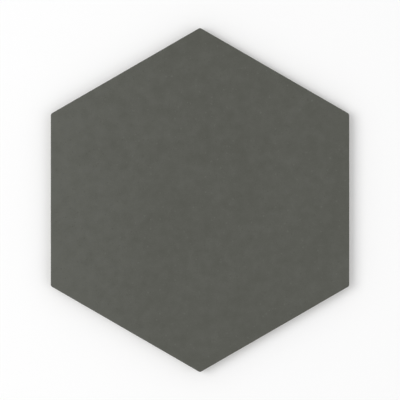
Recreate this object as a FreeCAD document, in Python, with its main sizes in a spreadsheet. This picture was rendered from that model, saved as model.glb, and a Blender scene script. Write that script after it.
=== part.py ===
import FreeCAD, Part

import math
import os
from enum import IntEnum

import Sketcher

# Hexagon floor tile: one dry-pressed, fired porcelain tile, lying on its back with its face up.
# Lengths are millimetres and angles are degrees. The origin is the middle of the back, +Z points
# out of the face, two of the six sides face along X, and two of the six corners point along Y.

SIZES = {
    # The pressed body. The width of the face across its flats is what the tile is sold by.
    "across_flats": 216.0,
    "tile_thickness": 9.0,
    "side_draft": 1.0,
    "corner_radius": 2.0,
    "arris_radius": 0.8,
    "back_bevel": 0.6,
    # The honeycomb key that the press prints in the back, for the adhesive to grip.
    "perimeter_band": 6.0,
    "rib_width": 3.0,
    "key_depth": 0.7,
    "key_draft": 30.0,
    "key_rings": 6,
}

CORNERS = 6
CORNER_STEP = 360 / CORNERS
LEVEL_TOLERANCE = 1e-4

ORIGIN = FreeCAD.Vector(0, 0, 0)
UPWARDS = FreeCAD.Vector(0, 0, 1)


class Fixed(IntEnum):
    """A sketch's own origin and vertical axis, as its constraints count them."""

    ORIGIN = -1
    VERTICAL_AXIS = -2


class Point(IntEnum):
    """The points of a line, an arc or a circle, as a sketch's constraints count them."""

    START = 1
    END = 2
    CENTRE = 3


# Half the width of the flat land of the back, inside its bevel.
BACK_HALF_WIDTH = (
    "(Sizes.across_flats / 2 - Sizes.tile_thickness * tan(Sizes.side_draft * 1deg) - Sizes.back_bevel)"
)
# The outermost cells reach the plain band, so the band, the ribs and the rings set the pitch.
KEY_PITCH = (
    f"(({BACK_HALF_WIDTH} - Sizes.perimeter_band + Sizes.rib_width / sqrt(3))"
    " / (round(Sizes.key_rings) * sqrt(3) / 2 + 1 / sqrt(3)))"
)
CELL_ACROSS_FLATS = f"({KEY_PITCH} - Sizes.rib_width)"


def write_sizes(doc):
    """The driving dimensions, one named cell each."""
    sheet = doc.addObject("Spreadsheet::Sheet", "Sizes")
    for row, (name, value) in enumerate(SIZES.items(), start=1):
        sheet.set(f"A{row}", name)
        sheet.set(f"B{row}", str(value))
        sheet.setAlias(f"B{row}", name)
    doc.recompute()
    return sheet


def around(centre, radius, degrees):
    """The point at that angle on a circle about the centre."""
    angle = math.radians(degrees)
    return centre + FreeCAD.Vector(radius * math.cos(angle), radius * math.sin(angle), 0)


def new_sketch(body, name):
    """An empty sketch on the body's own XY plane, which is the plane of the tile's back."""
    planes = [plane for plane in body.Origin.OriginFeatures if plane.Role == "XY_Plane"]
    sketch = body.newObject("Sketcher::SketchObject", name)
    sketch.AttachmentSupport = [(planes[0], "")]
    sketch.MapMode = "FlatFace"
    return sketch


def add_dimensions(sketch, dimensions):
    """Adds named dimensions to a sketch, each driven by an expression."""
    numbers = sketch.addConstraint([constraint for constraint, name, expression in dimensions])
    for number, (constraint, name, expression) in zip(numbers, dimensions):
        sketch.renameConstraint(number, name)
        sketch.setExpression(f"Constraints.{name}", expression)


def draw_outline(body, sheet):
    """The outline of the face: a regular hexagon with rounded corners, at the height of the face."""
    sketch = new_sketch(body, "FaceOutline")
    sketch.setExpression("AttachmentOffset.Base.z", "Sizes.tile_thickness")
    radius = float(sheet.corner_radius)
    reach = (sheet.across_flats / 2 - radius) * 2 / math.sqrt(3)

    # The first corner is half a step on from X, so that a side faces along X.
    half = CORNER_STEP / 2
    turns = [half + CORNER_STEP * i for i in range(CORNERS)]
    centres = [around(ORIGIN, reach, turn) for turn in turns]
    shapes = []
    for centre, turn in zip(centres, turns):
        corner = Part.Circle(centre, UPWARDS, radius)
        shapes.append(Part.ArcOfCircle(corner, math.radians(turn - half), math.radians(turn + half)))
    for i, turn in enumerate(turns):
        start = around(centres[i], radius, turn + half)
        end = around(centres[(i + 1) % CORNERS], radius, turn + half)
        shapes.append(Part.LineSegment(start, end))
    numbers = sketch.addGeometry(shapes, False)
    arcs, sides = numbers[:CORNERS], numbers[CORNERS:]
    guide = sketch.addGeometry(Part.Circle(ORIGIN, UPWARDS, reach), True)

    rules = [Sketcher.Constraint("Coincident", guide, Point.CENTRE, Fixed.ORIGIN, Point.START)]
    for i, (arc, side) in enumerate(zip(arcs, sides)):
        next_arc = arcs[(i + 1) % CORNERS]
        rules.append(Sketcher.Constraint("Tangent", arc, Point.END, side, Point.START))
        rules.append(Sketcher.Constraint("Tangent", side, Point.END, next_arc, Point.START))
        rules.append(Sketcher.Constraint("PointOnObject", arc, Point.CENTRE, guide))
    for arc, side in zip(arcs[1:], sides[1:]):
        rules.append(Sketcher.Constraint("Equal", arcs[0], arc))
        rules.append(Sketcher.Constraint("Equal", sides[0], side))
    left, right = sides[2], sides[5]
    rules.append(Sketcher.Constraint("Vertical", right))
    sketch.addConstraint(rules)

    across_flats = float(sheet.across_flats)
    width = Sketcher.Constraint("DistanceX", left, Point.START, right, Point.END, across_flats)
    rounding = Sketcher.Constraint("Radius", arcs[0], radius)
    add_dimensions(sketch, [
        (width, "AcrossFlats", "Sizes.across_flats"),
        (rounding, "CornerRadius", "Sizes.corner_radius"),
    ])
    return sketch


def edges_at(feature, level):
    """Names of the feature's edges that lie flat at that height."""
    names = []
    for number, edge in enumerate(feature.Shape.Edges, start=1):
        heights = [vertex.Z for vertex in edge.Vertexes] + [edge.CenterOfMass.z]
        if all(abs(height - level) < LEVEL_TOLERANCE for height in heights):
            names.append(f"Edge{number}")
    return names


def press_body(body, sheet, outline):
    """The pressed body: sides that lean in towards the back, a rounded arris and a bevelled back."""
    doc = body.Document

    pressed = body.newObject("PartDesign::Pad", "PressedBody")
    pressed.Profile = outline
    pressed.Reversed = True
    pressed.setExpression("Length", "Sizes.tile_thickness")
    pressed.setExpression("TaperAngle", "-Sizes.side_draft * 1deg")
    doc.recompute()

    arris = body.newObject("PartDesign::Fillet", "FaceArris")
    arris.Base = (pressed, edges_at(pressed, sheet.tile_thickness))
    arris.setExpression("Radius", "Sizes.arris_radius")
    doc.recompute()

    bevel = body.newObject("PartDesign::Chamfer", "BackBevel")
    bevel.Base = (arris, edges_at(arris, 0))
    bevel.setExpression("Size", "Sizes.back_bevel")
    doc.recompute()


def draw_cell(sketch, centre, across_flats):
    """One cell of the key: a regular hexagon in a guide circle, whose centre and size are still free."""
    radius = across_flats / math.sqrt(3)
    corners = [around(centre, radius, CORNER_STEP * i) for i in range(CORNERS)]
    lines = [Part.LineSegment(corners[i], corners[(i + 1) % CORNERS]) for i in range(CORNERS)]
    sides = sketch.addGeometry(lines, False)
    guide = sketch.addGeometry(Part.Circle(centre, UPWARDS, radius), True)

    upper = sides[1]
    rules = [Sketcher.Constraint("Horizontal", upper)]
    for i, side in enumerate(sides):
        next_side = sides[(i + 1) % CORNERS]
        rules.append(Sketcher.Constraint("Coincident", side, Point.END, next_side, Point.START))
        rules.append(Sketcher.Constraint("PointOnObject", side, Point.START, guide))
    for side in sides[1:]:
        rules.append(Sketcher.Constraint("Equal", sides[0], side))
    sketch.addConstraint(rules)
    return sides, guide


def cell_width(sides, across_flats):
    """The dimension that sets a cell's size, between its two sides that lie along X."""
    upper, lower = sides[1], sides[4]
    width = Sketcher.Constraint("DistanceY", lower, Point.START, upper, Point.START, across_flats)
    return width, "CellAcrossFlats", CELL_ACROSS_FLATS


def draw_centre_cell(body, across_flats):
    """The key's middle cell."""
    sketch = new_sketch(body, "CentreCell")
    sides, guide = draw_cell(sketch, ORIGIN, across_flats)
    sketch.addConstraint(
        Sketcher.Constraint("Coincident", guide, Point.CENTRE, Fixed.ORIGIN, Point.START)
    )
    add_dimensions(sketch, [cell_width(sides, across_flats)])
    return sketch


def place_cell(sketch, guide, row, step, centre):
    """Holds a cell's centre: some rows out along Y, then some steps down a row that slants to +X."""
    height = Sketcher.Constraint(
        "DistanceY", Fixed.ORIGIN, Point.START, guide, Point.CENTRE, centre.y
    )
    dimensions = [(height, f"UpRow{row}Step{step}", f"({row} - {step} / 2) * {KEY_PITCH}")]
    if step:
        along = Sketcher.Constraint(
            "DistanceX", Fixed.ORIGIN, Point.START, guide, Point.CENTRE, centre.x
        )
        dimensions.append((along, f"AlongRow{row}Step{step}", f"{step} * sqrt(3) / 2 * {KEY_PITCH}"))
    else:
        sketch.addConstraint(
            Sketcher.Constraint("PointOnObject", guide, Point.CENTRE, Fixed.VERTICAL_AXIS)
        )
    add_dimensions(sketch, dimensions)


def draw_wedge_cells(body, rings, pitch, across_flats):
    """One sixth of the key's rings: each row of cells starts on the Y axis and slants down from it."""
    sketch = new_sketch(body, "WedgeCells")
    guides = []
    for row in range(1, rings + 1):
        for step in range(row):
            centre = FreeCAD.Vector(step * math.sqrt(3) / 2, row - step / 2, 0) * pitch
            sides, guide = draw_cell(sketch, centre, across_flats)
            place_cell(sketch, guide, row, step, centre)
            if guides:
                sketch.addConstraint(Sketcher.Constraint("Equal", guides[0], guide))
            else:
                add_dimensions(sketch, [cell_width(sides, across_flats)])
            guides.append(guide)
    return sketch


def press_cells(body, name, cells):
    """Cells pressed up into the back, with sloping walls that let the punch out."""
    pocket = body.newObject("PartDesign::Pocket", name)
    pocket.Profile = cells
    pocket.Reversed = True
    pocket.Refine = False
    pocket.setExpression("Length", "Sizes.key_depth")
    pocket.setExpression("TaperAngle", "-Sizes.key_draft * 1deg")
    body.Document.recompute()
    return pocket


def press_key(body, sheet):
    """The honeycomb key: a middle cell, and rings of cells about it made from one sixth of them."""
    lean = sheet.tile_thickness * math.tan(math.radians(sheet.side_draft))
    reach = sheet.across_flats / 2 - lean - sheet.back_bevel - sheet.perimeter_band
    rings = round(sheet.key_rings)
    pitch = (reach + sheet.rib_width / math.sqrt(3)) / (rings * math.sqrt(3) / 2 + 1 / math.sqrt(3))
    across_flats = pitch - sheet.rib_width

    press_cells(body, "CentreKey", draw_centre_cell(body, across_flats))
    wedge = draw_wedge_cells(body, rings, pitch, across_flats)
    wedge_key = press_cells(body, "WedgeKey", wedge)

    key = body.newObject("PartDesign::PolarPattern", "HoneycombKey")
    key.Originals = [wedge_key]
    key.Axis = (wedge, ["N_Axis"])
    key.Angle = 360
    key.Occurrences = CORNERS
    key.Refine = False
    body.Tip = key
    body.Document.recompute()


def build_tile(doc, sheet):
    """The tile, one solid."""
    body = doc.addObject("PartDesign::Body", "Tile")
    body.Label = "hexagon_tile"
    outline = draw_outline(body, sheet)
    press_body(body, sheet, outline)
    press_key(body, sheet)
    return body


def check(doc, tile, sheet):
    """Stops the build if a feature failed, a cell is missing or the solid isn't whole."""
    for item in doc.Objects:
        if "Invalid" in item.State or "Error" in item.State:
            raise RuntimeError(f"{item.Label} failed: {item.State}")
    shape = tile.Shape
    if shape.isNull() or not shape.isValid() or len(shape.Solids) != 1:
        raise RuntimeError(f"{tile.Label} isn't one valid solid")
    rings = round(sheet.key_rings)
    wanted = 1 + CORNERS * rings * (rings + 1) // 2
    depths = [face.CenterOfMass.z - sheet.key_depth for face in shape.Faces]
    cells = sum(abs(depth) < LEVEL_TOLERANCE for depth in depths)
    if cells != wanted:
        raise RuntimeError(f"{tile.Label} has {cells} key cells, not {wanted}")


def main():
    """Builds the tile, checks it, and writes its solid."""
    doc = FreeCAD.newDocument("HexagonFloorTile")
    sheet = write_sizes(doc)
    tile = build_tile(doc, sheet)
    check(doc, tile, sheet)
    os.makedirs("parts", exist_ok=True)
    tile.Shape.exportStep(f"parts/{tile.Label}.step")


main()
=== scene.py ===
"""The looks of a hexagon floor tile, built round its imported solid.

The tile is one pressed and fired piece: a face with a matte glaze and a faint relief, a rounded
arris, sides that lean in towards the back, and a honeycomb key in the back. It lies on a pale
studio floor and is seen from straight above. Lengths are metres, and MM turns millimetres into them.
"""

import logging
import math
from dataclasses import dataclass, field
from enum import Enum
from functools import partial, reduce
from typing import Iterator, NamedTuple

import bmesh
import bpy
from bmesh.types import BMEdge, BMFace, BMesh, BMVert
from mathutils import Matrix, Vector, noise

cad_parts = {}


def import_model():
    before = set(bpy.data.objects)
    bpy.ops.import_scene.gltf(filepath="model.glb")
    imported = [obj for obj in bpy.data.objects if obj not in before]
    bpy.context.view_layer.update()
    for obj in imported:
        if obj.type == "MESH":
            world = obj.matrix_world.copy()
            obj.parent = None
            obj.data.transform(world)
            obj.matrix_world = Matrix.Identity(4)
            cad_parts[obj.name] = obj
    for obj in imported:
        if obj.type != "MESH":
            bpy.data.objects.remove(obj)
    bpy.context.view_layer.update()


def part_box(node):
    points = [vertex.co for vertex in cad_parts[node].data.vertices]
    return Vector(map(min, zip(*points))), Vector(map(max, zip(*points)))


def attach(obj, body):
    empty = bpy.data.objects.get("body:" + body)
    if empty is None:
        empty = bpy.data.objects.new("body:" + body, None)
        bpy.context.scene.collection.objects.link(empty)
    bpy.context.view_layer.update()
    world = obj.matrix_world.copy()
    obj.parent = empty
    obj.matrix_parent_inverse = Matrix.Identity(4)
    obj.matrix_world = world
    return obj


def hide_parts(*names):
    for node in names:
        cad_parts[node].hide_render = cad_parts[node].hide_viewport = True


LOG = logging.getLogger("hexagon_tile")

MM = 0.001
CM3 = 1e-6
NODE = "hexagon_tile"
BODY = "root"
BAKE_MAP = "OFBake"

CORNERS = 6
CORNER_STEP = math.tau / CORNERS
MERGE_DISTANCE = 1e-7
ORIGIN = Vector((0, 0, 0)).freeze()

Pair = tuple[float, float]
Triple = tuple[float, float, float]
Socket = bpy.types.NodeSocket
Amount = Socket | float
Value = Amount | Triple


class Step(NamedTuple):
    """A point of a profile: how far in from the starting outline, and how high."""

    inward: float
    height: float


class Facing(Enum):
    """Which way a flat sheet faces, as the sign of its normal's Z."""

    UP = 1
    DOWN = -1


class Turn(Enum):
    """Where a hexagon's first corner lies, in corner steps from X."""

    CORNER_ON_Y = 0.5
    CORNER_ON_X = 0.0


class Mix(Enum):
    """What a Mix node mixes, with the type that its sockets then have."""

    FLOAT = "VALUE"
    RGBA = "RGBA"


class Layer(NamedTuple):
    """What one finish gives at each place: a colour, a roughness, and a height in millimetres."""

    colour: Socket
    roughness: Socket
    height: Socket


def around(centre: Vector, radius: float, angle: float) -> Vector:
    """Returns the point at an angle on a level circle about a centre."""
    return centre + Vector((math.cos(angle), math.sin(angle), 0)) * radius


def smooth_step(value: float, low: float, high: float) -> float:
    """Returns 0 below low, 1 above high, and a smooth rise between them."""
    share = min(max((value - low) / (high - low), 0), 1)
    return share * share * (3 - 2 * share)


def open_edges(bm: BMesh, level: float) -> list[BMEdge]:
    """Returns the edges at one height that have a face on one side only, or none."""
    at_level = {vert for vert in bm.verts if abs(vert.co.z - level) < MERGE_DISTANCE}
    return [edge for edge in bm.edges if len(edge.link_faces) < 2 and at_level.issuperset(edge.verts)]


def link_mesh(bm: BMesh, name: str) -> bpy.types.Object:
    """Turns a mesh under construction into an object of the scene.

    Args:
        bm: The mesh, which is freed.
        name: The object's name.

    Returns:
        The object, at the origin.
    """
    mesh = bpy.data.meshes.new(name)
    bm.to_mesh(mesh)
    bm.free()
    made = bpy.data.objects.new(name, mesh)
    bpy.context.scene.collection.objects.link(made)
    return made


def rounded_profile(points: list[Step], radii: list[float], segments: int) -> list[Step]:
    """Rounds the inner corners of a profile with arcs.

    Args:
        points: The sharp profile, from its first point to its last.
        radii: One radius for each point but the first and the last.
        segments: How many straight parts each arc has.

    Returns:
        The rounded profile. Its first and last points stay as they are.
    """
    rounded = [points[0]]
    for before, corner, after, radius in zip(points, points[1:], points[2:], radii):
        to_before = (Vector(before) - Vector(corner)).normalized()
        to_after = (Vector(after) - Vector(corner)).normalized()
        half = to_before.angle(to_after) / 2
        middle = Vector(corner) + (to_before + to_after).normalized() * (radius / math.sin(half))
        start = Vector(corner) + to_before * (radius / math.tan(half)) - middle
        end = Vector(corner) + to_after * (radius / math.tan(half)) - middle
        sweep = start.angle_signed(end)
        for part in range(segments + 1):
            point = middle + Matrix.Rotation(-sweep * part / segments, 2) @ start
            rounded.append(Step(*point))
    return [*rounded, points[-1]]


@dataclass
class Hexagon:
    """A regular hexagon with rounded corners, as an outline or a flat sheet.

    Attributes:
        half_width: From the centre to a side.
        corner_radius: The radius of the rounded corners.
        turn: Where the first corner lies.
        corner_segments: How many straight parts a corner has.
        side_segments: How many parts a side has.
        centre: The middle of the hexagon.
    """

    half_width: float
    corner_radius: float
    turn: Turn
    corner_segments: int
    side_segments: int = 1
    centre: Vector = ORIGIN

    def sheet(self, bm: BMesh, facing: Facing) -> BMFace:
        """Makes the hexagon as one flat face.

        Args:
            bm: The mesh that the face is added to.
            facing: Which way the face looks.

        Returns:
            The face.
        """
        filled = bmesh.ops.contextual_create(bm, geom=self._outline(bm))
        face = filled["faces"][0]
        face.normal_update()
        if face.normal.z * facing.value < 0:
            face.normal_flip()
        return face

    def _outline(self, bm: BMesh) -> list[BMEdge]:
        """Spins an arc at each corner, joins the arcs, and divides the sides.

        Args:
            bm: The mesh that the outline is added to.

        Returns:
            The edges of the closed outline.
        """
        reach = (self.half_width - self.corner_radius) * 2 / math.sqrt(3)
        edges, ends = [], []
        for corner in range(CORNERS):
            angle = CORNER_STEP * (corner + self.turn.value)
            middle = around(self.centre, reach, angle)
            first = bm.verts.new(around(middle, self.corner_radius, angle - CORNER_STEP / 2))
            steps = self.corner_segments
            spun = bmesh.ops.spin(
                bm, geom=[first], cent=middle, axis=(0, 0, 1), angle=CORNER_STEP, steps=steps
            )
            last = next(item for item in spun["geom_last"] if isinstance(item, BMVert))
            edges += self._chain(first)
            ends.append((first, last))
        sides = [bm.edges.new((ends[i][1], ends[(i + 1) % CORNERS][0])) for i in range(CORNERS)]
        if self.side_segments > 1:
            divided = bmesh.ops.subdivide_edges(bm, edges=sides, cuts=self.side_segments - 1)
            inner = {item for item in divided["geom_inner"] if isinstance(item, BMVert)}
            sides = list({edge for vert in inner for edge in vert.link_edges})
        return edges + sides

    @staticmethod
    def _chain(first: BMVert) -> list[BMEdge]:
        """Follows an open chain of edges.

        Args:
            first: The vertex that it starts at.

        Returns:
            Its edges.
        """
        edges, vert = [], first
        while onward := [edge for edge in vert.link_edges if edge not in edges]:
            edges.append(onward[0])
            vert = onward[0].other_vert(vert)
        return edges


def step_in(bm: BMesh, face: BMFace, profile: list[Step], facing: Facing) -> None:
    """Insets a flat face again and again, so that what grows round it follows a profile.

    Args:
        bm: The face's mesh.
        face: The face, which stays as the flat middle.
        profile: The profile, from the face's present rim to its last one.
        facing: Which way the face looks.
    """
    for before, after in zip(profile, profile[1:]):
        inward = after.inward - before.inward
        depth = (after.height - before.height) * facing.value
        bmesh.ops.inset_region(
            bm, faces=[face], thickness=inward, depth=depth, use_boundary=True, use_even_offset=True
        )


@dataclass
class FaceRelief:
    """The fired face's faint relief, which only ever lies below the face's level.

    Attributes:
        swell_depth: How deep the broad swells are.
        swell_size: How broad they are.
        grain_depth: How deep the grain is.
        grain_size: How broad it is.
        fade: How far in from the arris the relief takes to reach its full depth.
        seed: Where in the noise the relief is taken from.
    """

    swell_depth: float = 0.050 * MM
    swell_size: float = 17.0 * MM
    grain_depth: float = 0.016 * MM
    grain_size: float = 3.4 * MM
    fade: float = 5.0 * MM
    seed: Vector = Vector((3.7, 11.2, 0.4)).freeze()

    def depth_at(self, place: Vector, from_rim: float) -> float:
        """Works out how far below the face's level the relief lies.

        Args:
            place: A point of the face.
            from_rim: How far the point lies from the face's rim.

        Returns:
            The depth.
        """
        swell = (1 + noise.noise(place / self.swell_size + self.seed)) / 2
        grain = (1 + noise.noise(place / self.grain_size - self.seed)) / 2
        depth = swell * self.swell_depth + grain * self.grain_depth
        return depth * smooth_step(from_rim, 0, self.fade)


@dataclass
class HoneycombKey:
    """The key pressed into the back: rings of six-sided cells with ribs between them.

    Attributes:
        rings: How many rings of cells lie round the middle one.
        perimeter_band: The plain border's width, outside the outermost cells.
        rib_width: The width of a rib between two cells.
        depth: How deep the cells are.
        wall_draft: How far a cell's walls lean from upright.
        corner_radius: The radius of a cell's upright corners.
        shoulder_radius: The rounding where a rib turns down into a cell.
        floor_radius: The rounding where a wall meets the cell's floor.
        corner_segments: How many straight parts an upright corner has.
        profile_segments: How many straight parts a shoulder or a floor rounding has.
        wall_room: How far in a cell's parts are drawn on the flat map, for each unit of height, so
            that its steep walls get room.
    """

    rings: int = 6
    perimeter_band: float = 6.0 * MM
    rib_width: float = 3.0 * MM
    depth: float = 0.7 * MM
    wall_draft: float = math.radians(30)
    corner_radius: float = 1.3 * MM
    shoulder_radius: float = 0.3 * MM
    floor_radius: float = 0.45 * MM
    corner_segments: int = 3
    profile_segments: int = 3
    wall_room: float = 1.6

    def pitch(self, half_width: float) -> float:
        """Works out how far apart the cells are.

        Args:
            half_width: Half the width of the back, inside its bevel.

        Returns:
            The distance from one cell's centre to the next.
        """
        reach = half_width - self.perimeter_band
        return (reach + self.rib_width / math.sqrt(3)) / (self.rings * math.sqrt(3) / 2 + 1 / math.sqrt(3))

    def centres(self, pitch: float) -> Iterator[Vector]:
        """Works out where the cells round the middle one lie, in six rows for each ring.

        Args:
            pitch: The distance from one cell's centre to the next.

        Yields:
            Each centre. A row heads two corner steps on from the direction of its first cell.
        """
        for ring in range(1, self.rings + 1):
            for side in range(CORNERS):
                turn = side + Turn.CORNER_ON_Y.value
                corner = around(ORIGIN, ring * pitch, CORNER_STEP * turn)
                for step in range(ring):
                    yield around(corner, step * pitch, CORNER_STEP * (turn + 2))

    def press(self, bm: BMesh, half_width: float) -> None:
        """Presses every cell up from the plane of the back.

        Args:
            bm: The tile's mesh, which is still empty.
            half_width: Half the width of the back, inside its bevel.
        """
        lean = self.depth * math.tan(self.wall_draft)
        far = self.rib_width
        sharp = [Step(-far, 0), Step(0, 0), Step(lean, self.depth), Step(lean + far, self.depth)]
        radii = [self.shoulder_radius, self.floor_radius]
        profile = rounded_profile(sharp, radii, self.profile_segments)[1:-1]
        widening = -profile[0].inward
        pitch = self.pitch(half_width)
        mouth = Hexagon(
            half_width=(pitch - self.rib_width) / 2 + widening,
            corner_radius=self.corner_radius + widening,
            turn=Turn.CORNER_ON_X,
            corner_segments=self.corner_segments,
        )
        step_in(bm, mouth.sheet(bm, Facing.DOWN), profile, Facing.DOWN)
        self._make_room(bm, mouth.half_width)
        cell = bm.verts[:] + bm.edges[:] + bm.faces[:]
        for centre in self.centres(pitch):
            copied = bmesh.ops.duplicate(bm, geom=cell)["geom"]
            verts = [item for item in copied if isinstance(item, BMVert)]
            bmesh.ops.translate(bm, verts=verts, vec=centre)

    def _make_room(self, bm: BMesh, half_width: float) -> None:
        """Notes how far in the middle cell's parts are drawn on the flat map.

        Args:
            bm: The mesh, with the middle cell alone.
            half_width: Half the width of the cell's mouth.
        """
        layer = bm.loops.layers.uv[BAKE_MAP]
        for face in bm.faces:
            for corner in face.loops:
                place = corner.vert.co
                corner[layer].uv = place.xy * (-place.z * self.wall_room / half_width)


@dataclass
class PressedTile:
    """The whole tile as one closed mesh, inside the solid's own box.

    Attributes:
        half_width: From the centre to the widest part of a side.
        thickness: From the plane of the back to the face.
        corner_radius: The radius of the outline's corners.
        corner_segments: How many straight parts a corner has.
        arris_radius: The rounding between the face and the sides.
        arris_segments: How many straight parts the arris has.
        side_draft: How far the sides lean in towards the back.
        side_rings: How many rings of faces a side has.
        back_bevel: The bevel between the sides and the back.
        bevel_rounding: The rounding of the bevel's two edges.
        bevel_segments: How many straight parts each of these roundings has.
        mesh_pitch: About how far apart the vertices of the face lie.
        rim_strip: The width of the strip that joins the face's even mesh to the arris.
        waver: How far the sides waver inwards from true.
        waver_size: How long a waver is.
        waver_fade: How far above the bevel the waver takes to reach its full depth.
        back_slope: The Z of a normal below which its face is mapped with the back.
        map_gap: The gap round each of the two parts of the flat map.
        relief: The face's relief.
        key: The key in the back.
    """

    half_width: float
    thickness: float
    corner_radius: float = 2.0 * MM
    corner_segments: int = 6
    arris_radius: float = 0.8 * MM
    arris_segments: int = 6
    side_draft: float = math.radians(1)
    side_rings: int = 7
    back_bevel: float = 0.6 * MM
    bevel_rounding: float = 0.2 * MM
    bevel_segments: int = 2
    mesh_pitch: float = 1.15 * MM
    rim_strip: float = 1.0 * MM
    waver: float = 0.05 * MM
    waver_size: float = 16.0 * MM
    waver_fade: float = 1.2 * MM
    back_slope: float = -0.1
    map_gap: float = 1.5 * MM
    relief: FaceRelief = field(default_factory=FaceRelief)
    key: HoneycombKey = field(default_factory=HoneycombKey)

    def build(self, name: str) -> bpy.types.Object:
        """Builds the tile.

        Args:
            name: The name of the new piece.

        Returns:
            The piece, at the origin, with its place in its mesh.
        """
        bm = bmesh.new()
        bm.loops.layers.uv.new(BAKE_MAP)
        self.key.press(bm, self._back_half_width)
        self._sink_sides(bm)
        self._raise_arris(bm)
        self._lay_face(bm)
        bmesh.ops.remove_doubles(bm, verts=bm.verts[:], dist=MERGE_DISTANCE)
        bmesh.ops.recalc_face_normals(bm, faces=bm.faces[:])
        self._waver_sides(bm)
        self._map_surface(bm)
        for face in bm.faces:
            face.smooth = face.calc_center_median().z > MERGE_DISTANCE
        loose = sum(not edge.is_manifold for edge in bm.edges)
        volume = bm.calc_volume() / CM3
        LOG.info("%s: %d faces, %d open edges, %.1f cm3", name, len(bm.faces), loose, volume)
        return link_mesh(bm, name)

    @property
    def _widest_level(self) -> float:
        """The height at which the tile is widest, where the arris begins."""
        return self.thickness - self.arris_radius

    @property
    def _side_drop(self) -> float:
        """How far it is from the widest level down to the bevel."""
        return self._widest_level - self.back_bevel

    @property
    def _side_lean(self) -> float:
        """How far in the sides have come when they meet the bevel."""
        return self._side_drop * math.tan(self.side_draft)

    @property
    def _back_half_width(self) -> float:
        """Half the width of the back, inside its bevel."""
        return self.half_width - self._side_lean - self.back_bevel

    @property
    def _corner_reach(self) -> float:
        """How far it is from the centre to the tip of a corner."""
        return (self.half_width - self.corner_radius) * 2 / math.sqrt(3) + self.corner_radius

    def _grow(self, bm: BMesh, profile: list[Step], facing: Facing) -> None:
        """Grows the surface from the tile's widest outline, and leaves it open where it ends.

        Args:
            bm: The tile's mesh.
            profile: The profile that it follows.
            facing: Which way it grows.
        """
        side = self._corner_reach - self.corner_radius
        outline = Hexagon(
            half_width=self.half_width,
            corner_radius=self.corner_radius,
            turn=Turn.CORNER_ON_Y,
            corner_segments=self.corner_segments,
            side_segments=round(side / self.mesh_pitch),
            centre=Vector((0, 0, self._widest_level)),
        )
        sheet = outline.sheet(bm, facing)
        step_in(bm, sheet, profile, facing)
        bmesh.ops.delete(bm, geom=[sheet], context="FACES_ONLY")

    @staticmethod
    def _distance_out(place: Vector) -> float:
        """Returns the half width of the hexagon that runs through a place."""
        directions = [around(ORIGIN, 1, CORNER_STEP * side) for side in range(CORNERS // 2)]
        return max(abs(place.dot(direction)) for direction in directions)

    def _sink_sides(self, bm: BMesh) -> None:
        """Makes the sides and the bevel down from the widest outline, and fills round the cells.

        Args:
            bm: The tile's mesh, with the key's cells.
        """
        lean, drop = self._side_lean, self._side_drop
        shares = [ring / self.side_rings for ring in range(self.side_rings)]
        rings = [Step(lean * share, self._widest_level - drop * share) for share in shares]
        sharp = [
            rings.pop(),
            Step(lean, self.back_bevel),
            Step(lean + self.back_bevel, 0),
            Step(lean + 2 * self.back_bevel, 0),
        ]
        foot = rounded_profile(sharp, [self.bevel_rounding] * 2, self.bevel_segments)[:-1]
        self._grow(bm, rings + foot, Facing.DOWN)
        bmesh.ops.triangle_fill(bm, use_beauty=True, edges=open_edges(bm, 0))

    def _raise_arris(self, bm: BMesh) -> None:
        """Makes the rounded arris, from the widest outline up to the open face.

        Args:
            bm: The tile's mesh.
        """
        angles = [math.pi / 2 * part / self.arris_segments for part in range(self.arris_segments + 1)]
        profile = [
            Step(
                self.arris_radius * (1 - math.cos(angle)),
                self._widest_level + self.arris_radius * math.sin(angle),
            )
            for angle in angles
        ]
        self._grow(bm, profile, Facing.UP)

    def _lay_face(self, bm: BMesh) -> None:
        """Lays the face's even mesh, joins it to the arris, and presses the relief into it.

        Args:
            bm: The tile's mesh, with the arris.
        """
        inner = self.half_width - self.arris_radius - self.rim_strip
        side = inner * 2 / math.sqrt(3)
        level = Matrix.Translation((0, 0, self.thickness))
        made = bmesh.ops.create_circle(
            bm, cap_ends=True, cap_tris=True, segments=CORNERS, radius=side, matrix=level
        )
        spokes = {edge for vert in made["verts"] for edge in vert.link_edges}
        cuts = round(side / self.mesh_pitch) - 1
        bmesh.ops.subdivide_edges(bm, edges=list(spokes), cuts=cuts, use_grid_fill=True)
        bmesh.ops.triangle_fill(bm, use_beauty=True, edges=open_edges(bm, self.thickness))
        for vert in bm.verts:
            if abs(vert.co.z - self.thickness) < MERGE_DISTANCE:
                vert.co.z -= self.relief.depth_at(vert.co, inner - self._distance_out(vert.co))

    def _waver_sides(self, bm: BMesh) -> None:
        """Lets the sides waver in by a hair, as pressed and fired ones do.

        Args:
            bm: The tile's mesh.
        """
        for vert in bm.verts:
            upper = 1 - smooth_step(vert.co.z, self._widest_level, self.thickness)
            lower = smooth_step(vert.co.z, self.back_bevel, self.back_bevel + self.waver_fade)
            share = upper * lower * (1 + noise.noise(vert.co / self.waver_size)) / 2
            inward = Vector((-vert.normal.x, -vert.normal.y, 0))
            if share and inward.length > MERGE_DISTANCE:
                vert.co += inward.normalized() * self.waver * share

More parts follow.
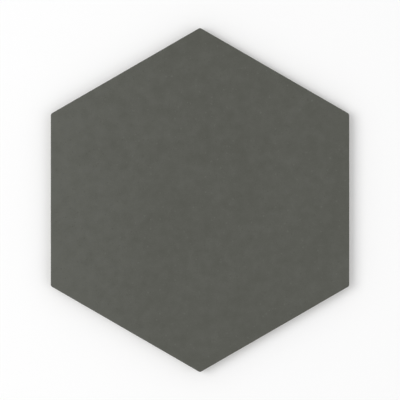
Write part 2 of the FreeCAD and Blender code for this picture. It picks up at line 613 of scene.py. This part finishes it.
    def _map_surface(self, bm: BMesh) -> None:
        """Lays the surface out flat, for baked finishes: the face with the sides folded out, and
        beside it the back as it is seen from below.

        Args:
            bm: The tile's mesh.
        """
        folded_out = self.half_width + self.thickness
        width = 2 * (folded_out + self.half_width) + 3 * self.map_gap
        height = 2 * (self._corner_reach + self.thickness + self.map_gap)
        face_middle = self.map_gap + folded_out
        back_middle = width - self.map_gap - self.half_width
        layer = bm.loops.layers.uv[BAKE_MAP]
        bm.normal_update()
        for face in bm.faces:
            on_back = face.normal.z < self.back_slope
            for corner in face.loops:
                vert = corner.vert
                if on_back:
                    flat = vert.co.xy + corner[layer].uv
                    flat.x = back_middle - flat.x
                else:
                    flat = vert.co.xy + vert.normal.xy * (self.thickness - vert.co.z)
                    flat.x += face_middle
                corner[layer].uv = (flat.x / width, flat.y / height + 0.5)


@dataclass(frozen=True)
class Cloud:
    """Soft patches that swing about zero, with finer patches in them.

    Attributes:
        size: About how broad a patch is, in millimetres.
        strength: How far the patches swing, from about minus half of this to plus half.
        shift: How far the pattern is moved, in patches, so that two like clouds differ.
        detail: How many finer layers there are.
        roughness: How strong the finer layers are.
        stretch: How many times longer the patches are along each axis.
    """

    size: float
    strength: float
    shift: float
    detail: float = 3.0
    roughness: float = 0.6
    stretch: Triple = (1.0, 1.0, 1.0)


@dataclass(frozen=True)
class Grains:
    """Small separate grains of mixed sizes, with uneven rims.

    Attributes:
        spacing: How far apart the places for a grain are, in millimetres.
        share: How many of the places hold a grain, from 0 to 1.
        strength: The value inside a grain.
        shift: How far the pattern is moved, in spacings, so that two like patterns differ.
        smallest: The smallest grain's radius, as a share of the spacing.
        spread: How much larger the largest one's is.
        bend: How far the rims stray, as a share of the spacing.
        core: How much of a grain's radius has its full strength.
    """

    spacing: float
    share: float
    strength: float
    shift: float
    smallest: float = 0.12
    spread: float = 0.28
    bend: float = 0.5
    core: float = 0.5


class NodeTree:
    """A tree of shader nodes, with a short call for each kind of node."""

    def __init__(self, owner: bpy.types.Material | bpy.types.World) -> None:
        """Starts the nodes of a material or a world anew.

        Args:
            owner: The material or the world.
        """
        owner.use_nodes = True
        self._nodes = owner.node_tree.nodes
        self._links = owner.node_tree.links
        self._nodes.clear()

    def node(self, kind: str, *values: Value, operation: str = "", **inputs: Value) -> bpy.types.Node:
        """Adds a node.

        Args:
            kind: The node's type, without the words that all of them start with.
            values: What goes into its first sockets.
            operation: Its operation, where it has a choice of them.
            inputs: What goes into other sockets, by their names with _ for a space.

        Returns:
            The node.
        """
        node = self._nodes.new(f"ShaderNode{kind}")
        if operation:
            node.operation = operation
        for socket, value in zip(node.inputs, values):
            self.feed(socket, value)
        for name, value in inputs.items():
            self.feed(node.inputs[name.replace("_", " ")], value)
        return node

    def feed(self, socket: Socket, value: Value) -> None:
        """Links a socket to another one, or sets it to a constant.

        Args:
            socket: The socket.
            value: The other one, or the constant.
        """
        if isinstance(value, Socket):
            self._links.new(value, socket)
        elif isinstance(value, tuple) and len(socket.default_value) > len(value):
            socket.default_value = (*value, 1)
        else:
            socket.default_value = value

    def joined(self, kind: str, operation: str, *values: Value) -> Socket:
        """Returns what a node makes of some values by an operation."""
        return self.node(kind, *values, operation=operation).outputs[0]

    def times(self, first: Socket, second: Amount) -> Socket:
        """Returns the product of two values."""
        return self.joined("Math", "MULTIPLY", first, second)

    def minus(self, first: Socket, second: Amount) -> Socket:
        """Returns the first value less the second."""
        return self.joined("Math", "SUBTRACT", first, second)

    def greater(self, first: Socket, second: Amount) -> Socket:
        """Returns the greater of two values."""
        return self.joined("Math", "MAXIMUM", first, second)

    def sum(self, *values: Amount) -> Socket:
        """Returns the sum of several values."""
        return reduce(partial(self.joined, "Math", "ADD"), values)

    def rise(
        self, value: Socket, low: Amount, high: Amount, start: Amount = 0.0, end: Amount = 1.0
    ) -> Socket:
        """Maps a value smoothly from one range to another, and holds it at both ends.

        Args:
            value: The value to map.
            low: Where the rise starts.
            high: Where it ends.
            start: The result up to low.
            end: The result from high on.

        Returns:
            The mapped value.
        """
        node = self.node("MapRange", value, low, high, start, end)
        node.interpolation_type = "SMOOTHSTEP"
        return node.outputs[0]

    def band(self, value: Socket, low: float, high: float, fade: float) -> Socket:
        """Returns 1 between two levels and 0 outside them, with a smooth fade beyond each."""
        return self.times(self.rise(value, low - fade, low), self.rise(value, high, high + fade, 1.0, 0.0))

    def blended(self, share: Socket, first: Socket, second: Socket) -> Socket:
        """Returns a blend of two shaders, where the share is the second one's."""
        return self.node("MixShader", share, first, second).outputs[0]

    def seen_by(self, *kinds: str) -> Socket:
        """Returns 1 for a ray of one of the kinds, and 0 for any other."""
        path = self.node("LightPath")
        return reduce(self.greater, [path.outputs[f"Is {kind} Ray"] for kind in kinds])


class FinishTree(NodeTree):
    """The nodes of a finish, whose patterns keep still on the piece.

    Attributes:
        material: The material.
        place: The place on the piece, in millimetres.
        x: Its part along X.
        z: Its part along Z.
    """

    def __init__(self, name: str, specular: float) -> None:
        """Starts a material.

        Args:
            name: The material's name.
            specular: The shader's specular level.
        """
        self.material = bpy.data.materials.new(name)
        super().__init__(self.material)
        self._shader = self.node("BsdfPrincipled", Specular_IOR_Level=specular)
        self.node("OutputMaterial", Surface=self._shader.outputs["BSDF"])
        metres = self.node("TexCoord").outputs["Object"]
        self.place = self.joined("VectorMath", "MULTIPLY", metres, (1 / MM,) * 3)
        split = self.node("SeparateXYZ", Vector=self.place)
        self.x, self.z = split.outputs["X"], split.outputs["Z"]

    def _moved(self, factor: Triple, shift: float) -> Socket:
        """Returns the place times one number for each axis, and moved along all three."""
        return self.joined("VectorMath", "MULTIPLY_ADD", self.place, factor, (shift,) * 3)

    def cloud(self, cloud: Cloud) -> Socket:
        """Makes a cloud.

        Args:
            cloud: What it is like.

        Returns:
            Its value at each place.
        """
        factor = tuple(1 / axis for axis in cloud.stretch)
        noise_node = self.node(
            "TexNoise",
            Vector=self._moved(factor, cloud.shift * cloud.size),
            Scale=1 / cloud.size,
            Detail=cloud.detail,
            Roughness=cloud.roughness,
        )
        return self.times(self.minus(noise_node.outputs[0], 0.5), cloud.strength)

    def grains(self, grains: Grains) -> Socket:
        """Scatters grains.

        Args:
            grains: What they are like.

        Returns:
            Their strength inside a grain, and 0 outside.
        """
        wave = self.node("TexNoise", Vector=self.place, Scale=2 / grains.spacing, Detail=1.0)
        stray = (grains.bend * grains.spacing,) * 3
        even = self._moved((1.0, 1.0, 1.0), grains.shift * grains.spacing)
        bent = self.joined("VectorMath", "MULTIPLY_ADD", wave.outputs["Color"], stray, even)
        cells = self.node("TexVoronoi", Vector=bent, Scale=1 / grains.spacing)
        chance = self.node("SeparateColor", Color=cells.outputs["Color"])
        picked = self.joined("Math", "LESS_THAN", chance.outputs[0], grains.share)
        radius = self.joined("Math", "MULTIPLY_ADD", chance.outputs[1], grains.spread, grains.smallest)
        inside = self.rise(cells.outputs["Distance"], self.times(radius, grains.core), radius, 1.0, 0.0)
        return self.times(self.times(inside, picked), grains.strength)

    def mixed(self, kind: Mix, factor: Socket, first: Socket | Triple, second: Socket | Triple) -> Socket:
        """Mixes two values or two colours.

        Args:
            kind: Which of the two they are.
            factor: The second one's share.
            first: The first one.
            second: The second one.

        Returns:
            The mix.
        """
        node = self.node("Mix", Factor=factor)
        node.data_type = kind.name
        sides = [socket for socket in node.inputs if socket.type == kind.value and socket.name in "AB"]
        self.feed(sides[0], first)
        self.feed(sides[1], second)
        return next(socket for socket in node.outputs if socket.type == kind.value)

    def dress(self, layer: Layer) -> bpy.types.Material:
        """Puts a layer on the shader.

        Args:
            layer: The layer that the whole surface shows.

        Returns:
            The finished material.
        """
        bump = self.node("Bump", Distance=MM, Height=layer.height)
        self.feed(self._shader.inputs["Base Color"], layer.colour)
        self.feed(self._shader.inputs["Roughness"], layer.roughness)
        self.feed(self._shader.inputs["Normal"], bump.outputs["Normal"])
        return self.material

    def laid(self, above: Layer, below: Layer, cover: Socket) -> Layer:
        """Lays one layer over another.

        Args:
            above: The upper layer.
            below: The lower layer.
            cover: How much of the lower one the upper one hides.

        Returns:
            The two layers as one.
        """
        return Layer(
            self.mixed(Mix.RGBA, cover, below.colour, above.colour),
            self.mixed(Mix.FLOAT, cover, below.roughness, above.roughness),
            self.sum(below.height, self.times(above.height, cover)),
        )


@dataclass(frozen=True)
class MatteGlaze:
    """The face's matte glaze: a dark olive grey, clouded and speckled, with painted light that makes it
    lighter towards the left (-X).

    Attributes:
        deep: The darkest tone.
        pale: The lightest tone.
        painted_light_peak: Where along X the painted light from the left is strongest, in millimetres.
        painted_light_end: Where the painted light has faded out.
        base_share: The pale tone's share where there is no painted light.
        painted_light_strength: How much more of it the painted light adds at its strongest.
        tones: Between which sums of all the shares the tone goes from the darkest to the lightest.
        clouds: Broad patches of tone.
        mottle: Small patches of tone.
        speckle: The finest patches of tone.
        dark_grains: Dark grains in the glaze.
        pale_grains: Pale grains in it.
        dullness: The mean roughness.
        dull_patches: How the roughness varies.
        film: How thick the glaze is, in millimetres.
        grit: The grit of its surface.
        pits: The pinholes in it.
    """

    deep: Triple = (0.0731, 0.0748, 0.0621)
    pale: Triple = (0.0995, 0.1019, 0.0887)
    painted_light_peak: float = -120.0
    painted_light_end: float = 22.0
    base_share: float = 0.37
    painted_light_strength: float = 0.43
    tones: Pair = (-0.1, 1.1)
    clouds: Cloud = Cloud(size=46.0, strength=0.55, shift=2.0)
    mottle: Cloud = Cloud(size=8.5, strength=1.12, shift=5.0, detail=4.0)
    speckle: Cloud = Cloud(size=0.9, strength=0.70, shift=8.0, detail=2.0)
    dark_grains: Grains = Grains(spacing=1.7, share=0.22, strength=-0.55, shift=1.0)
    pale_grains: Grains = Grains(spacing=2.2, share=0.16, strength=0.60, shift=4.0)
    dullness: float = 0.58
    dull_patches: Cloud = Cloud(size=11.0, strength=0.16, shift=3.0)
    film: float = 0.08
    grit: Cloud = Cloud(size=0.55, strength=0.030, shift=6.0)
    pits: Grains = Grains(spacing=1.3, share=0.14, strength=-0.020, shift=7.0)

    def layer(self, tree: FinishTree) -> Layer:
        """Makes the glaze.

        Args:
            tree: The material's nodes.

        Returns:
            The glaze as a layer.
        """
        # Painted light: the pale tone's share rises towards the left (-X), as a sheen of light falling
        # from that side.
        painted_lightness = tree.rise(tree.x, self.painted_light_peak, self.painted_light_end, 1.0, 0.0)
        side = tree.times(tree.times(painted_lightness, painted_lightness), self.painted_light_strength)
        patches = tree.sum(tree.cloud(self.clouds), tree.cloud(self.mottle), tree.cloud(self.speckle))
        grains = tree.sum(tree.grains(self.dark_grains), tree.grains(self.pale_grains))
        tone = tree.rise(tree.sum(side, patches, grains, self.base_share), *self.tones)
        return Layer(
            tree.mixed(Mix.RGBA, tone, self.deep, self.pale),
            tree.sum(tree.cloud(self.dull_patches), self.dullness),
            tree.sum(tree.cloud(self.grit), tree.grains(self.pits), self.film),
        )


@dataclass(frozen=True)
class BareBody:
    """The unglazed porcelain of the sides and back: warm mid grey, full of fine mineral grains.

    Attributes:
        colour: The body's tone.
        shade: Its darker tone.
        clouds: The patches of the darker tone.
        press_marks: The die's faint upright marks on the sides, as a height.
        mark_tone: How much darker they are for each millimetre of it.
        shades: Between which sums of clouds and marks the tone goes to its darker one.
        iron: The dark grains' colour.
        iron_grains: The dark grains.
        quartz: The pale grains' colour.
        quartz_grains: The pale grains.
        dullness: The mean roughness.
        dull_clouds: How much rougher the clouds are.
        grit: The grit of its surface.
    """

    colour: Triple = (0.205, 0.195, 0.172)
    shade: Triple = (0.155, 0.147, 0.128)
    clouds: Cloud = Cloud(size=9.0, strength=2.0, shift=12.0, detail=4.0)
    press_marks: Cloud = Cloud(size=0.9, strength=0.07, shift=13.0, stretch=(1.0, 1.0, 14.0))
    mark_tone: float = 12.0
    shades: Pair = (-0.6, 0.8)
    iron: Triple = (0.062, 0.056, 0.048)
    iron_grains: Grains = Grains(spacing=0.65, share=0.42, strength=0.85, shift=14.0, smallest=0.08)
    quartz: Triple = (0.310, 0.298, 0.270)
    quartz_grains: Grains = Grains(spacing=0.80, share=0.45, strength=0.80, shift=15.0, smallest=0.08)
    dullness: float = 0.87
    dull_clouds: float = 0.04
    grit: Cloud = Cloud(size=0.45, strength=0.05, shift=16.0, roughness=0.7)

    def layer(self, tree: FinishTree) -> Layer:
        """Makes the bare body.

        Args:
            tree: The material's nodes.

        Returns:
            The body as a layer.
        """
        marks = tree.cloud(self.press_marks)
        clouds = tree.cloud(self.clouds)
        shaded = tree.rise(tree.sum(clouds, tree.times(marks, self.mark_tone)), *self.shades)
        colour = tree.mixed(Mix.RGBA, shaded, self.colour, self.shade)
        colour = tree.mixed(Mix.RGBA, tree.grains(self.iron_grains), colour, self.iron)
        colour = tree.mixed(Mix.RGBA, tree.grains(self.quartz_grains), colour, self.quartz)
        roughness = tree.sum(tree.times(clouds, self.dull_clouds), self.dullness)
        return Layer(colour, roughness, tree.sum(tree.cloud(self.grit), marks))


@dataclass(frozen=True)
class KilnWash:
    """The chalky wash that is rolled on the back before firing, so that it doesn't stick.

    Attributes:
        chalk: The wash where it is thick.
        thin: The wash where it is thin.
        powder: Its grain.
        powder_tones: Between which of its values the wash goes from thick to thin.
        powder_dullness: What the grain adds to the roughness.
        powder_height: What it adds to the height, in millimetres.
        dullness: The mean roughness.
        film: How thick the wash is, in millimetres.
        reach: How far up from the ribs it goes, in millimetres.
        streaks: The roller's streaks.
        patches: Where the roller pressed more or less.
        pressures: Between which sums of the two the wash goes from its least to its most.
        hidden: How much of the ribs it hides, between the streaks and in them.
        dust: The wash that fell into the cells.
        dust_amounts: Between which of its values the dust goes from none to its most.
        dust_hidden: How much of the cells' floors it hides, at its least and its most.
        floors: Between which levels the floors of the cells lie, in millimetres.
        floor_fade: How far beyond these the dust fades out.
    """

    chalk: Triple = (0.50, 0.485, 0.45)
    thin: Triple = (0.41, 0.397, 0.366)
    powder: Cloud = Cloud(size=0.6, strength=1.0, shift=22.0, roughness=0.7)
    powder_tones: Pair = (-0.25, 0.25)
    powder_dullness: float = 0.05
    powder_height: float = 0.02
    dullness: float = 0.93
    film: float = 0.015
    reach: float = 0.16
    streaks: Cloud = Cloud(size=5.0, strength=1.0, shift=20.0, detail=4.0, stretch=(7.0, 1.0, 1.0))
    patches: Cloud = Cloud(size=34.0, strength=0.9, shift=21.0)
    pressures: Pair = (-0.10, 0.14)
    hidden: Pair = (0.10, 0.82)
    dust: Cloud = Cloud(size=6.0, strength=1.0, shift=23.0, detail=4.0, roughness=0.7)
    dust_amounts: Pair = (-0.05, 0.25)
    dust_hidden: Pair = (0.0, 0.24)
    floors: Pair = (0.65, 0.75)
    floor_fade: float = 0.05

    def layer(self, tree: FinishTree) -> Layer:
        """Makes the wash.

        Args:
            tree: The material's nodes.

        Returns:
            The wash as a layer.
        """
        powder = tree.cloud(self.powder)
        return Layer(
            tree.mixed(Mix.RGBA, tree.rise(powder, *self.powder_tones), self.chalk, self.thin),
            tree.sum(tree.times(powder, self.powder_dullness), self.dullness),
            tree.sum(tree.times(powder, self.powder_height), self.film),
        )

    def cover(self, tree: FinishTree) -> Socket:
        """Works out where the wash lies: in streaks on the ribs and border, as dust in the cells.

        Args:
            tree: The material's nodes.

        Returns:
            How much of the body the wash hides.
        """
        pressure = tree.sum(tree.cloud(self.streaks), tree.cloud(self.patches))
        rolled = tree.rise(pressure, *self.pressures, *self.hidden)
        ribs = tree.rise(tree.z, 0.0, self.reach, 1.0, 0.0)
        fallen = tree.rise(tree.cloud(self.dust), *self.dust_amounts, *self.dust_hidden)
        floors = tree.band(tree.z, *self.floors, self.floor_fade)
        return tree.sum(tree.times(ribs, rolled), tree.times(floors, fallen))


@dataclass(frozen=True)
class FiredSurface:
    """All the tile's finishes in one material, each where it lies on the tile.

    Attributes:
        thickness: The tile's thickness.
        glaze: The face's glaze, which laps over the arris.
        body: The bare body.
        wash: The wash on the back.
        lap: How far down the sides the glaze reaches, in millimetres.
        lap_line: How that varies, in millimetres.
        lap_rim: Half the width of the glaze's soft rim, in millimetres.
        spatter: Drops of glaze on the sides below the lap.
        spatter_reach: How far below it they go, in millimetres.
        spatter_rims: Between which sums of grain and nearness a drop's rim lies.
        specular: The shader's specular level.
    """

    thickness: float
    glaze: MatteGlaze = MatteGlaze()
    body: BareBody = BareBody()
    wash: KilnWash = KilnWash()
    lap: float = 2.0
    lap_line: Cloud = Cloud(size=7.0, strength=1.5, shift=30.0, detail=4.0)
    lap_rim: float = 0.10
    spatter: Grains = Grains(spacing=0.75, share=0.55, strength=0.9, shift=31.0, smallest=0.05)
    spatter_reach: float = 2.4
    spatter_rims: Pair = (1.1, 1.3)
    specular: float = 0.25

    def material(self) -> bpy.types.Material:
        """Builds the material.

        Returns:
            The material.
        """
        tree = FinishTree("fired_porcelain", self.specular)
        back = tree.laid(self.wash.layer(tree), self.body.layer(tree), self.wash.cover(tree))
        line = tree.sum(tree.cloud(self.lap_line), self.thickness / MM - self.lap)
        above = tree.minus(tree.z, line)
        near = tree.rise(above, -self.spatter_reach, 0.0)
        drops = tree.rise(tree.sum(tree.grains(self.spatter), near), *self.spatter_rims)
        glazed = tree.greater(tree.rise(above, -self.lap_rim, self.lap_rim), drops)
        return tree.dress(tree.laid(self.glaze.layer(tree), back, glazed))


@dataclass(frozen=True)
class SoftLamp:
    """A square soft box that faces the tile.

    Attributes:
        name: The lamp's name.
        place: Where it hangs.
        size: The length of its sides.
        power: Its power in watts.
    """

    name: str
    place: Triple
    size: float
    power: float

    def hang(self) -> None:
        """Hangs the lamp, which the camera doesn't see."""
        light = bpy.data.lights.new(self.name, "AREA")
        light.size = self.size
        light.energy = self.power
        lamp = bpy.data.objects.new(self.name, light)
        lamp.location = self.place
        lamp.rotation_euler = Vector(self.place).to_track_quat("Z", "Y").to_euler()
        lamp.visible_camera = False
        bpy.context.scene.collection.objects.link(lamp)


@dataclass(frozen=True)
class Studio:
    """A pale floor, soft light from all round, soft boxes, and a camera straight above the tile.

    The floor is clear to every ray but the camera's, and to that one from below, so that the sides
    and the back are lit and can be looked at. The light from below stands for what a white floor
    throws back.

    Attributes:
        floor_half_width: Half the floor's width.
        floor_drop: How far the floor lies below the back, so that the two planes don't meet.
        floor_colour: The floor's colour.
        paper_edge: How far from the tile's middle the floor begins to turn plain white.
        white_edge: How far from it the floor is plain white, as the light from all round is.
        from_above: How strong the light from all round is, from above.
        from_below: How strong it is from below.
        horizon: How high the band is in which the one passes into the other, for a height of 1.
        lamps: The soft boxes.
        lens: The camera's focal length in millimetres.
        fill: How much of the picture's height the tile takes.
    """

    floor_half_width: float = 6.0
    floor_drop: float = 0.05 * MM
    floor_colour: Triple = (0.97, 0.97, 0.97)
    paper_edge: float = 0.22
    white_edge: float = 0.55
    from_above: float = 0.68
    from_below: float = 0.72
    horizon: float = 0.05
    lamps: tuple[SoftLamp, ...] = (
        SoftLamp("left_soft_box", (-1.9, 0.25, 2.6), 2.0, 37.0),
        SoftLamp("right_soft_box", (2.2, -0.5, 3.0), 2.4, 15.0),
        SoftLamp("under_soft_box", (-1.6, -1.2, -1.3), 1.2, 26.0),
    )
    lens: float = 200.0
    fill: float = 0.86

    def lay_floor(self) -> bpy.types.Object:
        """Lays the floor.

        Returns:
            The floor.
        """
        bm = bmesh.new()
        bmesh.ops.create_grid(bm, x_segments=1, y_segments=1, size=self.floor_half_width)
        bmesh.ops.translate(bm, verts=bm.verts[:], vec=(0, 0, -self.floor_drop))
        floor = link_mesh(bm, "studio_floor")
        floor.data.materials.append(self._paper())
        return floor

    def _paper(self) -> bpy.types.Material:
        """Makes the floor's matte paper, which turns plain white away from the tile.

        Returns:
            The material.
        """
        material = bpy.data.materials.new("studio_paper")
        tree = NodeTree(material)
        paper = tree.node("BsdfDiffuse", Color=self.floor_colour).outputs[0]
        white = tree.node("Emission", Strength=1.0).outputs[0]
        clear = tree.node("BsdfTransparent").outputs[0]
        place = tree.node("TexCoord").outputs["Object"]
        from_tile = tree.node("VectorMath", place, operation="LENGTH").outputs["Value"]
        whiteness = tree.rise(from_tile, self.paper_edge, self.white_edge)
        below = tree.node("NewGeometry").outputs["Backfacing"]
        shown = tree.greater(tree.minus(tree.seen_by("Camera"), below), 0.0)
        surface = tree.blended(shown, clear, tree.blended(whiteness, paper, white))
        tree.node("OutputMaterial", Surface=surface)
        return material

    def light_room(self) -> None:
        """Hangs the lamps and sets the light from all round, which is seen and mirrored as white."""
        for lamp in self.lamps:
            lamp.hang()
        world = bpy.data.worlds.new("studio_light")
        tree = NodeTree(world)
        direction = tree.node("SeparateXYZ", Vector=tree.node("TexCoord").outputs["Generated"])
        light = tree.rise(direction.outputs["Z"], -self.horizon, 0.0, self.from_below, self.from_above)
        seen = tree.seen_by("Camera", "Glossy", "Transmission")
        level = tree.rise(seen, 0.0, 1.0, light, 1.0)
        sky = tree.node("Background", Color=(1.0, 1.0, 1.0), Strength=level)
        tree.node("OutputWorld", Surface=sky.outputs[0])
        bpy.context.scene.world = world

    def place_camera(self, height: float, level: float) -> bpy.types.Object:
        """Places the camera straight above the tile, with +Y up in the picture.

        Args:
            height: The tile's extent along Y.
            level: The height of the tile's face.

        Returns:
            The camera.
        """
        data = bpy.data.cameras.new("camera")
        data.lens = self.lens
        camera = bpy.data.objects.new("camera", data)
        distance = height / self.fill * data.lens / data.sensor_width
        camera.location = (0, 0, level + distance)
        bpy.context.scene.collection.objects.link(camera)
        bpy.context.scene.camera = camera
        return camera


def main() -> None:
    """Builds the tile and its studio round the frame."""
    logging.basicConfig(level=logging.INFO)
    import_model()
    low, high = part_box(NODE)

    tile = PressedTile(half_width=high.x, thickness=high.z).build("pressed_tile")
    tile.data.materials.append(FiredSurface(thickness=high.z).material())
    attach(tile, BODY)
    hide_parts(NODE)
    LOG.info("tile: %s", tile.name)

    studio = Studio()
    floor = studio.lay_floor()
    LOG.info("floor: %s", floor.name)
    studio.light_room()
    camera = studio.place_camera(high.y - low.y, high.z)
    LOG.info("camera: %s", camera.name)

    bpy.context.scene.view_settings.view_transform = "Standard"
    bpy.context.view_layer.update()


if __name__ == "__main__":
    main()
